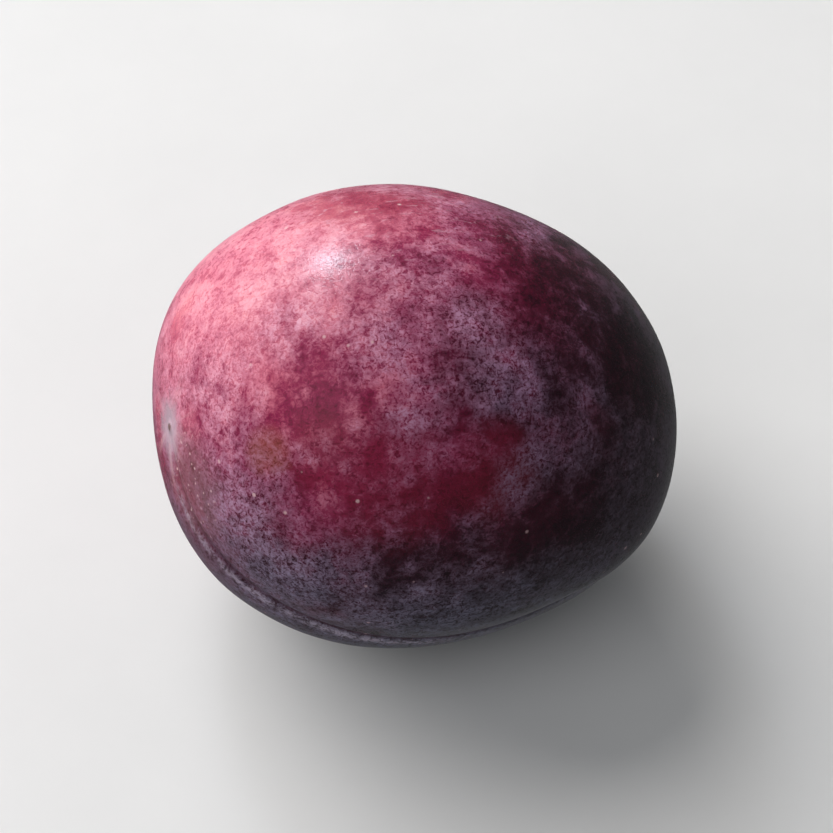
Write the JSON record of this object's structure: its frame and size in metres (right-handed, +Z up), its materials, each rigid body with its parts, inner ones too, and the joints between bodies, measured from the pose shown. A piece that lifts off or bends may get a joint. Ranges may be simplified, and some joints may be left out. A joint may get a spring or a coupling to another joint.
{
  "type": "plum",
  "caption": "Whole plum lying on its side on a small flat spot, with a suture crease and a stem cavity. Food prop for tables, bowls and crates.",
  "frame": {"origin": "middle of the bounding box at its bottom, on the surface that the plum lies on", "axes": "+X along the fruit towards its stem end, +Y away from the crease towards the back, +Z up"},
  "size_m": [0.0596, 0.0534, 0.0526],
  "materials": {
    "plum_skin": "waxy satin skin under a dusty bloom"
  },
  "bodies": {
    "root": {"plum": "plum_skin"}
  },
  "joints": []
}
